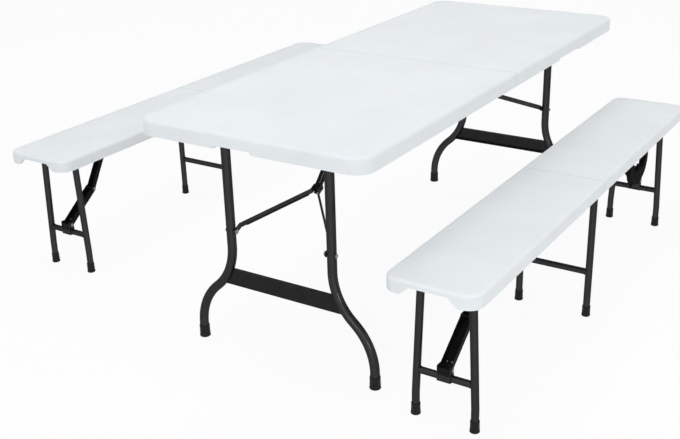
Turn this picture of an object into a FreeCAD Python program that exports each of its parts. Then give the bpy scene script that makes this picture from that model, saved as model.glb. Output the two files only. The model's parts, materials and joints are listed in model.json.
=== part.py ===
import FreeCAD, Part
import math
import os
import re
import Sketcher

# Folding table with two folding benches, modelled in the open position.
# X runs along the table from its near end to its far end, Y to its left side
# and Z up. The origin is on the floor, under the middle of the whole set.

# Driving dimensions in millimetres, angles in degrees.
SIZES = {
    "table_length": 1830, "table_width": 745, "table_height": 740,
    "table_skirt": 46, "table_panel": 12.5, "table_wall": 16,
    "table_corner": 55, "table_rim": 11, "table_inner_corner": 40,
    "seam_gap": 2, "table_bay": 30, "table_hinge_drop": 6.6, "table_leaf_from": 250,
    "table_grip_long": 133, "table_grip_high": 8.5, "table_grip_side": 36,
    "side_grip_long": 188, "side_grip_high": 6, "side_grip_from_seam": 457,
    "well_long": 170, "well_wide": 56, "well_deep": 8, "well_from_seam": 655,
    "field_inset": 17, "field_deep": 0.9, "dimple_deep": 4, "dimple_long": 86,
    "table_dimple_step": 126, "table_dimple_first": 118, "table_dimple_wide": 104,
    "table_dimple_inner": 98, "table_dimple_outer": 236, "bench_dimple_step": 112,
    "bench_dimple_first": 112, "bench_dimple_wide": 46, "bench_dimple_y": 58,
    "rail_wide": 18, "rail_high": 26.5, "rail_wall": 2.5, "rail_end": 62,
    "table_frame_inset": 145, "table_leg_drop": 29.2, "table_tube": 28,
    "table_leg_spread": 175, "table_foot_spread": 308,
    "table_bend_top": 247.4, "table_bend_low": 132.6, "table_bend": 189,
    "pivot_tube": 25, "pivot_gap": 8, "journal": 16, "journal_gap": 4,
    "foot_rise": 4, "table_foot": 31.6, "table_foot_high": 38, "foot_round": 4,
    "plate_low": 207, "plate_high": 50, "plate_thick": 3, "plate_lip": 12,
    "plate_low_half": 224, "plate_top_half": 191.7,
    "yoke_height": 385, "yoke_half": 158, "elbow_back": 200,
    "elbow_height": 483, "elbow_half": 12, "arm_thick": 3, "arm_deep": 17,
    "arm_lip": 4, "arm_lip_thick": 2.5, "arm_tail": 10, "arm_straight": 26,
    "arm_end": 16, "arm_lip_gap": 12, "arm_round": 8,
    "bolt": 8, "bolt_head": 14, "bolt_head_high": 4, "bolt_gap": 0.3,
    "brace_top_reach": 420, "link_deep": 15, "link_half": 8.2,
    "link_wall": 3.2, "link_web": 2.5, "link_open_end": 62,
    "block_long": 20, "block_high": 17, "tab_long": 8, "tab_high": 19,
    "bracket_wall": 3, "bracket_gap": 0.4, "bracket_long": 60,
    "bracket_wide": 52, "bracket_base": 2.5, "cheek_long": 24,
    "cheek_low": 10, "table_eye": 12.4, "table_leaf": 3.2, "pin": 5,
    "eye_long": 18, "eye_gap": 0.4, "leaf_clear": 8, "play": 0.3,
    "bench_length": 1780, "bench_width": 266, "bench_height": 450,
    "bench_skirt": 40, "bench_panel": 13, "bench_wall": 4.7,
    "bench_end_wall": 10, "bench_corner": 42, "bench_rim": 9,
    "bench_inner_corner": 36, "bench_bay": 30.3, "bench_seam_wall": 15,
    "bench_hinge_drop": 5, "bench_leaf_from": 30, "bench_eye": 9.2,
    "bench_leaf": 2.6,
    "arch_flat": 106, "arch_wide": 160, "arch_high": 23,
    "bench_frame_inset": 105, "bench_leg_drop": 26.5, "bench_tube": 22,
    "bench_leg_spread": 73, "bench_foot_spread": 88, "bench_bend_low": 70,
    "bench_bend": 300, "bench_journal": 16, "bench_pivot_past_leg": 17,
    "bench_pivot_tube": 23, "bench_journal_past": 20, "bench_foot": 25.6,
    "bench_foot_high": 34, "mid_top": 6,
    "crossbar": 20, "crossbar_height": 140, "mid_crossbar_height": 152,
    "mid_from_seam": 28, "mid_leg_spread": 114.5, "mid_bracket_from": 74,
    "lug_height": 165, "lug_back": 12, "lug_front": 9, "lug_low": 9.5,
    "lug_high": 11, "lug_wall": 2.6, "lug_gap": 0.4,
    "bench_elbow_reach": 127, "bench_elbow_height": 260,
    "bench_top_reach": 226, "lower_half": 17, "lower_wall": 2.5,
    "upper_half": 14, "upper_wall": 2.5, "bench_link_deep": 17,
    "upper_link_trim": 3, "rivet": 8, "rivet_head": 11, "rivet_high": 1.6,
    "bench_open_end": 48, "bearing_long": 24, "bearing_wide": 16,
    "bearing_low": 12.2,
    "grip_from_seam": 390, "grip_side": 88, "grip_shoulder": 70,
    "grip_chin": 40, "grip_drop": 83, "grip_cheek": 30, "grip_jaw": 64,
    "grip_top": 7, "grip_arm": 24, "grip_deep": 18, "grip_bend": 55, "grip_inner_bend": 9,
    "grip_inner_drop": 28, "grip_inner_half": 46, "grip_inner_high": 11,
    "finger_step": 25, "finger_round": 11.5, "finger_drop": 29, "grip_edge": 3,
    "grip_y": 115, "grip_pivot_drop": 12, "grip_lug_long": 9,
    "grip_lug_deep": 13,
    "left_bench_x": 173, "left_bench_y": 1044,
    "right_bench_x": -38, "right_bench_y": -555, "overrun": 1,
}

# Lengths that follow from the driving dimensions.
LENGTHS = {
    "middle_x": "((left_bench_x + right_bench_x) / 2)",
    "middle_y": "((left_bench_y + right_bench_y) / 2)",
    "table_hinge": "(table_height - table_skirt)",
    "table_under": "(table_height - table_panel)",
    "table_pivot": "(table_height - table_leg_drop)",
    "table_frame_x": "(-table_length / 2 + table_frame_inset)",
    "table_inner": "(table_width / 2 - table_wall)",
    "rail_centre": "(table_inner - rail_wide / 2 - overrun / 2)",
    "pivot_half": "(rail_centre - rail_wide / 2 - pivot_gap)",
    "journal_half": "(rail_centre + rail_wide / 2 - journal_gap)",
    "bench_hinge": "(bench_height - bench_skirt)",
    "bench_under": "(bench_height - bench_panel)",
    "bench_pivot": "(bench_height - bench_leg_drop)",
    "bench_frame_x": "(-bench_length / 2 + bench_frame_inset)",
    "bench_inner": "(bench_width / 2 - bench_wall)",
    "bench_pivot_half": "(bench_leg_spread + bench_pivot_past_leg)",
    "bench_journal_half": "(bench_pivot_half + bench_journal_past)",
    "yoke_long": "sqrt(elbow_back ^ 2 + (elbow_height - yoke_height) ^ 2)",
    "link_reach": "(brace_top_reach - elbow_back)",
    "link_long": "sqrt(link_reach ^ 2 + (table_pivot - elbow_height) ^ 2)",
    "lower_rise": "(bench_elbow_height - lug_height)",
    "lower_long": "sqrt(bench_elbow_reach ^ 2 + lower_rise ^ 2)",
    "upper_reach": "(bench_top_reach - bench_elbow_reach)",
    "upper_rise": "(bench_pivot - bench_elbow_height)",
    "upper_long": "sqrt(upper_reach ^ 2 + upper_rise ^ 2)",
}

doc = FreeCAD.newDocument("FoldingTableSet")
sheet = doc.addObject("Spreadsheet::Sheet", "Sizes")
for row, (word, size) in enumerate(SIZES.items(), start=1):
    sheet.set(f"A{row}", word)
    sheet.set(f"B{row}", str(size))
    sheet.setAlias(f"B{row}", word)
doc.recompute()

parts = []


def bound(text):
    """Write an expression over the named sizes as the sheet reads it."""
    while any(re.search(rf"\b{word}\b", text) for word in LENGTHS):
        text = re.sub(r"[a-z_]+", lambda m: LENGTHS.get(m.group(), m.group()), text)
    return re.sub(r"[a-z_]+", lambda m: f"Sizes.{m.group()}" if m.group() in SIZES else m.group(), text)


def value(text):
    """The number that an expression over the named sizes gives."""
    return float(sheet.evalExpression(bound(text)))


def spot(x, y, z):
    """A point from three expressions."""
    return FreeCAD.Vector(value(x), value(y), value(z))


def bind(item, **sizes):
    """Bind the properties of an object to expressions."""
    for name, text in sizes.items():
        item.setExpression(name.replace("__", "."), bound(text))


def locate(item, x, y, z):
    """Bind the position of an object."""
    bind(item, Placement__Base__x=x, Placement__Base__y=y, Placement__Base__z=z)


def finish(item, label, home, x="0", y="0", z="0", pitch=0):
    """Name a sub-part and put it in its unit, turned about Z for the far side."""
    centre_x, centre_y, turned = home
    turn = FreeCAD.Rotation(FreeCAD.Vector(0, 0, 1), 180 if turned else 0)
    tilt = FreeCAD.Rotation(FreeCAD.Vector(0, 1, 0), -pitch)
    item.Placement = FreeCAD.Placement(FreeCAD.Vector(), turn.multiply(tilt))
    sign = "-" if turned else "+"
    locate(item, f"{centre_x} - middle_x {sign} ({x})", f"{centre_y} - middle_y {sign} ({y})", z)
    item.Label = label
    parts.append(item)


def block(name, x, y, z, long, wide, high):
    """A box from its low corner and its three sizes."""
    box = doc.addObject("Part::Box", name)
    bind(box, Length=long, Width=wide, Height=high)
    locate(box, x, y, z)
    return box


def rod(name, x, y, z, radius, long, along="y"):
    """A cylinder that starts at a point and runs along Y, X or Z."""
    bar = doc.addObject("Part::Cylinder", name)
    bind(bar, Radius=radius, Height=long)
    axis = {"x": (0, 1, 0), "y": (-1, 0, 0), "z": (0, 0, 1)}[along]
    turn = FreeCAD.Rotation(FreeCAD.Vector(*axis), 0 if along == "z" else 90)
    bar.Placement = FreeCAD.Placement(FreeCAD.Vector(), turn)
    locate(bar, x, y, z)
    return bar


def join(name, items):
    """One solid from several that meet."""
    fused = doc.addObject("Part::MultiFuse", name)
    fused.Shapes = items
    fused.Refine = True
    return fused


def group(name, items):
    """Separate solids that share a node."""
    bunch = doc.addObject("Part::Compound", name)
    bunch.Links = items
    return bunch


def take(name, base, tools):
    """Cut one or more tools from a solid."""
    tool = tools[0] if len(tools) == 1 else group(f"{name}_tools", tools)
    cut = doc.addObject("Part::Cut", name)
    cut.Base = base
    cut.Tool = tool
    cut.Refine = True
    return cut


def bent_tube(name, points, bend, radius):
    """A round tube along straight runs joined by arcs, down from its first point."""
    spots = [spot(*p) for p in points]
    edges = []
    start = spots[0]
    for before, here, after in zip(spots, spots[1:], spots[2:]):
        into = (here - before).normalize()
        out = (after - here).normalize()
        half_turn = into.getAngle(out) / 2
        reach = value(bend) * math.tan(half_turn)
        first = here - into * reach
        last = here + out * reach
        inward = (out - into).normalize()
        middle = here + inward * (value(bend) / math.cos(half_turn) - value(bend))
        edges.append(Part.makeLine(start, first))
        edges.append(Part.Arc(first, middle, last).toShape())
        start = last
    edges.append(Part.makeLine(start, spots[-1]))
    path = doc.addObject("Part::Feature", f"{name}_path")
    path.Shape = Part.Wire(edges)
    ring = doc.addObject("Part::Circle", f"{name}_ring")
    bind(ring, Radius=radius)
    away = FreeCAD.Rotation(FreeCAD.Vector(0, 0, 1), spots[1] - spots[0])
    ring.Placement = FreeCAD.Placement(spots[0], away)
    sweep = doc.addObject("Part::Sweep", name)
    sweep.Sections = [ring]
    sweep.Spine = (path, [])
    sweep.Solid = True
    sweep.Frenet = False
    return sweep


def sketch_on(owner, name, role, level="0"):
    """An empty sketch on one of the body's own planes."""
    sketch = owner.newObject("Sketcher::SketchObject", name)
    plane = next(f for f in owner.Origin.OriginFeatures if f.Role == role)
    sketch.AttachmentSupport = [(plane, "")]
    sketch.MapMode = "FlatFace"
    bind(sketch, AttachmentOffset__Base__z=level)
    return sketch


def outline(sketch, points):
    """Add a closed outline of straight sides whose corners are bound to the sheet."""
    spots = [FreeCAD.Vector(value(x), value(y), 0) for x, y in points]
    count = len(spots)
    start = sketch.GeometryCount
    for i, here in enumerate(spots):
        sketch.addGeometry(Part.LineSegment(here, spots[(i + 1) % count]), False)
    for i in range(count):
        sketch.addConstraint(Sketcher.Constraint("Coincident", start + i, 2, start + (i + 1) % count, 1))
    for i, (x, y) in enumerate(points):
        for kind, text, number in (("DistanceX", x, spots[i].x), ("DistanceY", y, spots[i].y)):
            rule = sketch.addConstraint(Sketcher.Constraint(kind, -1, 1, start + i, 1, number))
            sketch.setExpression(f"Constraints[{rule}]", bound(text))


def polygon(owner, name, role, points, level="0"):
    """A sketch of one closed outline."""
    sketch = sketch_on(owner, name, role, level)
    outline(sketch, points)
    return sketch


def dimples(owner, name, first, step, count, rows, wide, level):
    """Rows of shallow hollows that stiffen the underside of a moulded panel."""
    sketch = sketch_on(owner, name, "XY_Plane", level)
    near = f"(-{first} - dimple_long / 2)"
    far = f"(-{first} + dimple_long / 2)"
    for y in rows:
        low = f"({y} - {wide} / 2)"
        high = f"({y} + {wide} / 2)"
        outline(sketch, [(near, low), (far, low), (far, high), (near, high)])
    hollow = feature(owner, "Pocket", sketch, "2 * dimple_deep")
    repeat = owner.newObject("PartDesign::LinearPattern", f"{name}_repeat")
    repeat.Originals = [hollow]
    repeat.Direction = (sketch, ["H_Axis"])
    repeat.Reversed = True
    repeat.Occurrences = count
    bind(repeat, Length=f"{count - 1} * {step}")
    owner.Tip = repeat
    doc.recompute()


def circle(owner, name, role, x, y, radius):
    """A round outline."""
    sketch = sketch_on(owner, name, role)
    centre = FreeCAD.Vector(value(x), value(y), 0)
    sketch.addGeometry(Part.Circle(centre, FreeCAD.Vector(0, 0, 1), value(radius)), False)
    for kind, text, number in (("DistanceX", x, centre.x), ("DistanceY", y, centre.y)):
        rule = sketch.addConstraint(Sketcher.Constraint(kind, -1, 1, 0, 3, number))
        sketch.setExpression(f"Constraints[{rule}]", bound(text))
    rule = sketch.addConstraint(Sketcher.Constraint("Radius", 0, value(radius)))
    sketch.setExpression(f"Constraints[{rule}]", bound(radius))
    return sketch


def feature(owner, kind, sketch, length, side="Symmetric"):
    """A pad or a pocket of a sketch."""
    made = owner.newObject(f"PartDesign::{kind}", f"{sketch.Name}_{kind.lower()}")
    made.Profile = sketch
    made.SideType = side
    bind(made, Length=length)
    doc.recompute()
    return made


def soften(owner, radius, chosen):
    """Round the edges of a body that a test picks."""
    last = owner.Tip
    names = [f"Edge{i}" for i, edge in enumerate(last.Shape.Edges, start=1) if chosen(edge)]
    made = owner.newObject("PartDesign::Fillet", f"{last.Name}_round")
    made.Base = (last, names)
    bind(made, Radius=radius)
    doc.recompute()
    return made


def upright(edge):
    """True for an edge along Z."""
    box = edge.BoundBox
    return box.XLength < value("overrun") / 2 and box.YLength < value("overrun") / 2


def moulded_half(name, long, wide, deep, panel, inner, end_wall, seam_wall, bay, corner, inner_corner, rim):
    """Half of a moulded top: a rounded plan, a hollow underside and a soft rim."""
    body = doc.addObject("PartDesign::Body", name)
    end = f"(-{long} / 2)"
    seam = "(-seam_gap / 2)"
    side = f"({wide} / 2)"
    plan = [(end, f"-{side}"), (seam, f"-{side}"), (seam, side), (end, side)]
    feature(body, "Pad", polygon(body, f"{name}_plan", "XY_Plane", plan), deep, "One side")
    near = value(f"{end} + overrun")
    soften(body, corner, lambda e: upright(e) and e.BoundBox.XMax < near)
    high = value(f"{deep} - overrun")
    at_seam = value(f"{seam} - overrun")
    soften(body, rim, lambda e: e.BoundBox.ZMin > high and e.BoundBox.XMin < at_seam)
    edge = f"({side} - field_inset)"
    cut_in = f"({end} + field_inset)"
    field = [("overrun", f"-{edge}"), ("overrun", edge), (f"{cut_in} + {inner_corner}", edge)]
    field += [(cut_in, f"{edge} - {inner_corner}"), (cut_in, f"{inner_corner} - {edge}")]
    field += [(f"{cut_in} + {inner_corner}", f"-{edge}")]
    feature(body, "Pocket", polygon(body, f"{name}_field", "XY_Plane", field, deep), "2 * field_deep")
    shallow = value("field_deep + overrun / 2")
    soften(body, inner_corner, lambda e: upright(e) and e.BoundBox.ZLength < shallow
           and e.BoundBox.XMax < near + value("field_inset + overrun") + value(inner_corner))
    start = f"({end} + {end_wall})"
    wall = f"(-{seam_wall})"
    step = f"({inner} - {bay})"
    hollow = [("overrun", f"-{inner}"), ("overrun", f"-{step}"), (wall, f"-{step}"), (wall, step)]
    hollow += [("overrun", step), ("overrun", inner), (f"{start} + {inner_corner}", inner)]
    hollow += [(start, f"{inner} - {inner_corner}"), (start, f"{inner_corner} - {inner}")]
    hollow += [(f"{start} + {inner_corner}", f"-{inner}")]
    inside = polygon(body, f"{name}_hollow", "XY_Plane", hollow)
    feature(body, "Pocket", inside, f"2 * ({deep} - {panel})")
    first = value(f"{start} - overrun")
    last = value(f"{start} + {inner_corner} + overrun")
    turned = value(f"{inner} - {inner_corner} - overrun")
    soften(body, f"{inner_corner} / 2", lambda e: upright(e) and first < e.BoundBox.XMin < last
           and abs(e.BoundBox.YMin) > turned and e.BoundBox.ZMax < high)
    return body


def table_half(label, home):
    """Table half with a finger notch in its end, a grip notch in one side and a well for the elbow."""
    body = moulded_half(f"{label}_body", "table_length", "table_width", "table_skirt", "table_panel",
                        "table_inner", "table_wall", "table_wall", "table_bay", "table_corner",
                        "table_inner_corner", "table_rim")
    low = "(-table_grip_high)"
    first = "(table_grip_side - table_grip_long / 2)"
    last = "(table_grip_side + table_grip_long / 2)"
    notch = [(first, low), (last, low), (f"{last} - table_grip_high", "table_grip_high")]
    notch += [(f"{first} + table_grip_high", "table_grip_high")]
    cut = polygon(body, f"{label}_end_notch", "YZ_Plane", notch, "-table_length / 2")
    feature(body, "Pocket", cut, "2 * (table_wall + overrun)")
    side = "side_grip_high"
    first = "(-side_grip_from_seam - side_grip_long / 2)"
    last = "(-side_grip_from_seam + side_grip_long / 2)"
    notch = [(first, f"-{side}"), (last, f"-{side}"), (f"{last} - {side}", side), (f"{first} + {side}", side)]
    cut = polygon(body, f"{label}_side_notch", "XZ_Plane", notch, "-table_width / 2")
    feature(body, "Pocket", cut, "2 * (table_wall + overrun)")
    under = "(table_skirt - table_panel)"
    first = "(-well_from_seam - well_long / 2)"
    last = "(-well_from_seam + well_long / 2)"
    half = "(well_wide / 2)"
    well = [(first, f"-{half}"), (last, f"-{half}"), (last, half), (first, half)]
    cut = polygon(body, f"{label}_well", "XY_Plane", well, under)
    feature(body, "Pocket", cut, "2 * well_deep")
    rows = ("table_dimple_inner", "-table_dimple_inner", "table_dimple_outer", "-table_dimple_outer")
    dimples(body, f"{label}_dimples", "table_dimple_first", "table_dimple_step", 6, rows,
            "table_dimple_wide", under)
    finish(body, label, home, z="table_hinge")


def bench_half(label, home):
    """Bench half with an arched opening in its end skirt."""
    body = moulded_half(f"{label}_body", "bench_length", "bench_width", "bench_skirt", "bench_panel",
                        "bench_inner", "bench_end_wall", "bench_seam_wall", "bench_bay", "bench_corner",
                        "bench_inner_corner", "bench_rim")
    arch = [("-arch_wide / 2", "-overrun"), ("arch_wide / 2", "-overrun")]
    arch += [("arch_flat / 2", "arch_high"), ("-arch_flat / 2", "arch_high")]
    cut = polygon(body, f"{label}_arch", "YZ_Plane", arch, "-bench_length / 2")
    feature(body, "Pocket", cut, "2 * (bench_end_wall + overrun)")
    dimples(body, f"{label}_dimples", "bench_dimple_first", "bench_dimple_step", 6,
            ("bench_dimple_y", "-bench_dimple_y"), "bench_dimple_wide", "(bench_skirt - bench_panel)")
    finish(body, label, home, z="bench_hinge")


def hinge(label, home, base, drop, start, wall, leaf, eye, near):
    """Leaves under the seam wall with their eyes, and on the near side the pins."""
    axis = f"({base} - {drop})"
    low = f"({base} - {leaf})"
    pair = []
    for tag, side in (("left", "+"), ("right", "-")):
        name = f"{label}_{tag}"
        first = f"({start})" if side == "+" else f"(-{start} - 3 * eye_long)"
        items = [block(f"{name}_leaf", f"-{wall}", first, low, f"{wall} - leaf_clear", "3 * eye_long", leaf)]
        eyes = (0, 2) if near else (1,)
        for i in eyes:
            y = f"{first} + {i} * eye_long + eye_gap / 2"
            wide = "(eye_long - eye_gap)"
            items.append(block(f"{name}_strap_{i}", "-leaf_clear", y, low, "leaf_clear", wide, leaf))
            items.append(rod(f"{name}_eye_{i}", "0", y, axis, f"{eye} / 2", wide))
        if near:
            items.append(rod(f"{name}_pin", "0", first, axis, "pin / 2", "3 * eye_long"))
            pair.append(join(name, items))
        else:
            bore = rod(f"{name}_bore", "0", first, axis, "pin / 2 + play", "3 * eye_long")
            pair.append(take(name, join(f"{name}_solid", items), [bore]))
    finish(group(f"{label}_pair", pair), label, home)


def rails(label, home):
    """Two steel channels under a table half that carry the pivot tube."""
    pair = []
    long = "(table_length / 2 - 2 * rail_end)"
    for tag, side in (("left", "+"), ("right", "-")):
        name = f"{label}_{tag}"
        y = f"({side}rail_centre - rail_wide / 2)"
        start = "(-table_length / 2 + rail_end)"
        low = "(table_under - rail_high)"
        outer = block(f"{name}_outer", start, y, low, long, "rail_wide", "rail_high")
        inner = block(f"{name}_inner", f"{start} + rail_wall", f"{y} + rail_wall", f"{low} - rail_wall",
                      f"{long} - 2 * rail_wall", "rail_wide - 2 * rail_wall", "rail_high")
        bore = rod(f"{name}_bore", "table_frame_x", f"{y} - overrun", "table_pivot",
                   "journal / 2 + play", "rail_wide + 2 * overrun")
        pair.append(take(name, outer, [inner, bore]))
    finish(group(f"{label}_pair", pair), label, home)


def cap(name, x, y, radius, high, tube):
    """A rubber foot with a chamfered sole and a socket for the tube."""
    wall = rod(f"{name}_wall", x, y, "foot_round", radius, f"{high} - foot_round", "z")
    sole = doc.addObject("Part::Cone", f"{name}_sole")
    bind(sole, Radius1=f"{radius} - foot_round / 2", Radius2=radius, Height="foot_round")
    locate(sole, x, y, "0")
    return take(name, join(f"{name}_solid", [wall, sole]), [tube])


def table_frame(label, home):
    """Two bent legs, their cross plate, pivot tube and feet."""
    x = "table_frame_x"
    tubes = []
    feet = []
    pivot = rod(f"{label}_pivot_tool", x, "-pivot_half", "table_pivot", "pivot_tube / 2", "2 * pivot_half")
    for tag, side in (("left", "+"), ("right", "-")):
        name = f"{label}_{tag}"
        top = f"({side}table_leg_spread)"
        foot = f"({side}table_foot_spread)"
        spots = [(x, top, "table_pivot - pivot_tube / 4"), (x, top, "table_bend_top")]
        spots += [(x, foot, "table_bend_low"), (x, foot, "foot_rise")]
        tube = bent_tube(f"{name}_tube", spots, "table_bend", "table_tube / 2")
        bolt = rod(f"{name}_bolt_tool", x, f"{top} - bolt * 4", "yoke_height", "bolt / 2", "bolt * 8")
        leg = take(f"{name}_cut", tube, [pivot, bolt])
        finish(leg, f"{label}_{tag}_leg", home)
        tubes.append(tube)
        feet.append(cap(f"{name}_foot", x, foot, "table_foot / 2", "table_foot_high", tube))
    finish(group(f"{label}_feet_pair", feet), f"{label}_feet", home)
    core = rod(f"{label}_pivot_core", x, "-pivot_half", "table_pivot", "pivot_tube / 2", "2 * pivot_half")
    journal = rod(f"{label}_journal", x, "-journal_half", "table_pivot", "journal / 2", "2 * journal_half")
    finish(join(f"{label}_pivot", [core, journal]), f"{label}_pivot_tube", home)
    cross_plate(label, home, tubes)
    shoulder_bolts(label, home)


def cross_plate(label, home, tubes):
    """A pressed plate between the legs with a lip along its top and bottom."""
    plate = doc.addObject("PartDesign::Body", f"{label}_plate_body")
    top = "(plate_low + plate_high)"
    face = [("-plate_low_half", "plate_low"), ("plate_low_half", "plate_low")]
    face += [("plate_top_half", top), ("-plate_top_half", top)]
    front = polygon(plate, f"{label}_plate_face", "YZ_Plane", face, "table_frame_x")
    feature(plate, "Pad", front, "plate_thick")
    low = block(f"{label}_low_lip", "table_frame_x", "-plate_low_half", "plate_low",
                "plate_lip", "2 * plate_low_half", "plate_thick")
    high = block(f"{label}_high_lip", "table_frame_x", "-plate_top_half", f"{top} - plate_thick",
                 "plate_lip", "2 * plate_top_half", "plate_thick")
    solid = join(f"{label}_plate_solid", [plate, low, high])
    finish(take(f"{label}_plate_cut", solid, tubes), f"{label}_cross_plate", home)


def shoulder_bolts(label, home):
    """Two bolts through the legs that carry the yoke."""
    pair = []
    head = "(yoke_half - arm_thick / 2 - bolt_gap)"
    long = f"(table_leg_spread + table_tube / 2 + bolt_gap - {head})"
    for tag, side in (("left", 1), ("right", -1)):
        name = f"{label}_{tag}_bolt"
        shank_y = head if side > 0 else f"(-{head} - {long})"
        head_y = f"({head} - bolt_head_high)" if side > 0 else f"(-{head})"
        shank = rod(f"{name}_shank", "table_frame_x", shank_y, "yoke_height", "bolt / 2", long)
        disc = rod(f"{name}_head", "table_frame_x", head_y, "yoke_height", "bolt_head / 2", "bolt_head_high")
        pair.append(join(name, [shank, disc]))
    finish(group(f"{label}_bolt_pair", pair), f"{label}_yoke_bolts", home)


def yoke_arm(name, side):
    """A flat bar from a leg to the elbow, lipped along its slanted run."""
    body = doc.addObject("PartDesign::Body", f"{name}_body")
    long = "yoke_long"
    half = "arm_thick / 2"
    bar = [("-arm_tail", f"yoke_half + {half}"), ("arm_straight", f"yoke_half + {half}")]
    bar += [(f"{long} - arm_end", f"elbow_half + {half}"), (f"{long} + arm_tail", f"elbow_half + {half}")]
    bar += [(f"{long} + arm_tail", f"elbow_half - {half}"), (f"{long} - arm_end", f"elbow_half - {half}")]
    bar += [("arm_straight", f"yoke_half - {half}"), ("-arm_tail", f"yoke_half - {half}")]
    sided = [(x, f"{side}({y})") for x, y in bar]
    feature(body, "Pad", polygon(body, f"{name}_bar", "XY_Plane", sided), "arm_deep")
    ends = (value("overrun - arm_tail"), value(f"{long} + arm_tail - overrun"))
    soften(body, "arm_round", lambda e: e.BoundBox.ZLength < value("overrun") / 2
           and (e.BoundBox.XMax < ends[0] or e.BoundBox.XMin > ends[1]))
    slope = f"((yoke_half - elbow_half) / ({long} - arm_end - arm_straight))"
    first = "(arm_straight + arm_lip_gap)"
    last = f"({long} - arm_end - arm_lip_gap)"
    lip = [(first, f"yoke_half - {slope} * ({first} - arm_straight)")]
    lip += [(last, f"yoke_half - {slope} * ({last} - arm_straight)")]
    lip += [(x, f"{y} - {half} - arm_lip") for x, y in reversed(lip)]
    sided = [(x, f"{side}({y})") for x, y in lip]
    feature(body, "Pad", polygon(body, f"{name}_lip", "XY_Plane", sided), "arm_deep")
    trim = [(f"{first} - overrun", f"yoke_half - {slope} * ({first} - overrun - arm_straight)")]
    trim += [(f"{last} + overrun", f"yoke_half - {slope} * ({last} + overrun - arm_straight)")]
    groove = [(x, f"{side}({y} - {half})") for x, y in trim]
    groove += [(x, f"{side}({y} - {half} - arm_lip - overrun)") for x, y in reversed(trim)]
    cut = polygon(body, f"{name}_groove", "XY_Plane", groove)
    feature(body, "Pocket", cut, "arm_deep - 2 * arm_lip_thick")
    hole = circle(body, f"{name}_hole", "XZ_Plane", "0", "0", "bolt / 2 + play")
    feature(body, "Pocket", hole, "4 * yoke_half")
    reach = "(elbow_half + arm_thick / 2 + bolt_head_high)"
    low = "(link_half + bolt_gap)"
    start = low if side == "+" else f"-{reach}"
    stub = rod(f"{name}_stub", long, start, "0", "bolt / 2", f"{reach} - {low}")
    return join(name, [body, stub])


def yoke(label, home):
    """The two arms that meet at the elbow."""
    arms = [yoke_arm(f"{label}_{tag}", side) for tag, side in (("left", "+"), ("right", "-"))]
    pitch = math.degrees(math.atan2(value("elbow_height - yoke_height"), value("elbow_back")))
    finish(group(f"{label}_arms", arms), label, home, "table_frame_x", "0", "yoke_height", pitch)


def channel(name, long, half, wall, deep, trim, open_start, open_end, hole, web_up, extra):
    """A channel link with rounded ends, open at its ends and drilled for its pins."""
    low = f"(-{deep} / 2)"
    tall = f"({deep} - {trim})"
    body = [block(f"{name}_bar", "0", f"-{half}", low, long, f"2 * {half}", deep)]
    body += [rod(f"{name}_end_{i}", x, f"-{half}", "0", f"{deep} / 2", f"2 * {half}")
             for i, x in enumerate(("0", long))]
    inner = f"({half} - {wall})"
    floor = f"({low} - overrun)" if web_up else f"({low} + link_web)"
    start = f"(-{deep})"
    room = f"({deep} - link_web + overrun)"
    tools = [block(f"{name}_room", start, f"-{inner}", floor, f"{long} + 2 * {deep}", f"2 * {inner}", room)]
    tools += [block(f"{name}_gap_start", start, f"-{inner}", f"-{deep}", f"{deep} + {open_start}",
                    f"2 * {inner}", f"2 * {deep}")]
    tools += [block(f"{name}_gap_end", f"{long} - {open_end}", f"-{inner}", f"-{deep}",
                    f"{deep} + {open_end}", f"2 * {inner}", f"2 * {deep}")]
    side = f"({low} - overrun)" if web_up else f"({low} + {tall})"
    tools += [block(f"{name}_trim", f"-{deep}", f"-{half} - overrun", side, f"{long} + 2 * {deep}",
                    f"2 * {half} + 2 * overrun", f"{trim} + overrun")]
    tools += [rod(f"{name}_bore_{i}", x, f"-{half} - overrun", "0", hole, f"2 * {half} + 2 * overrun")
              for i, x in enumerate(("0", long))]
    made = take(f"{name}_cut", join(f"{name}_solid", body), tools)
    return join(name, [made] + extra) if extra else made


def table_link(label, home):
    """The upper brace link of the table with its elbow block and tab."""
    long = "link_long"
    high = "block_high"
    hub = block(f"{label}_hub", f"{long} - block_long / 2", "-link_half", f"-{high} / 2",
                "block_long", "2 * link_half", high)
    tab = block(f"{label}_tab", long, "-tab_long / 2", "-tab_long / 2", "tab_high", "tab_long", "tab_long")
    made = channel(label, long, "link_half", "link_wall", "link_deep", "0", "cheek_long", "link_open_end",
                   "bolt / 2 + play", True, [hub, tab])
    pitch = math.degrees(math.atan2(value("elbow_height - table_pivot"), value("-link_reach")))
    finish(made, label, home, "table_frame_x + brace_top_reach", "0", "table_pivot", pitch)


def brace_bracket(name, x, pivot, under, half):
    """A bracket under a top: a plate, two cheeks and the pin of the upper link."""
    base = block(f"{name}_base", f"{x} - bracket_long / 2", "-bracket_wide / 2", f"{under} - bracket_base",
                 "bracket_long", "bracket_wide", "bracket_base")
    items = [base]
    for tag, side in (("left", 1), ("right", -1)):
        first = f"({half} + bracket_gap)"
        y = first if side > 0 else f"(-{first} - bracket_wall)"
        low = f"({pivot} - cheek_low)"
        items.append(block(f"{name}_{tag}_cheek", f"{x} - cheek_long / 2", y, low, "cheek_long",
                           "bracket_wall", f"{under} - {low}"))
    reach = f"({half} + bracket_gap + bracket_wall + rivet_high)"
    items.append(rod(f"{name}_pin", x, f"-{reach}", pivot, "bolt / 2", f"2 * {reach}"))
    return join(name, items)


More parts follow.
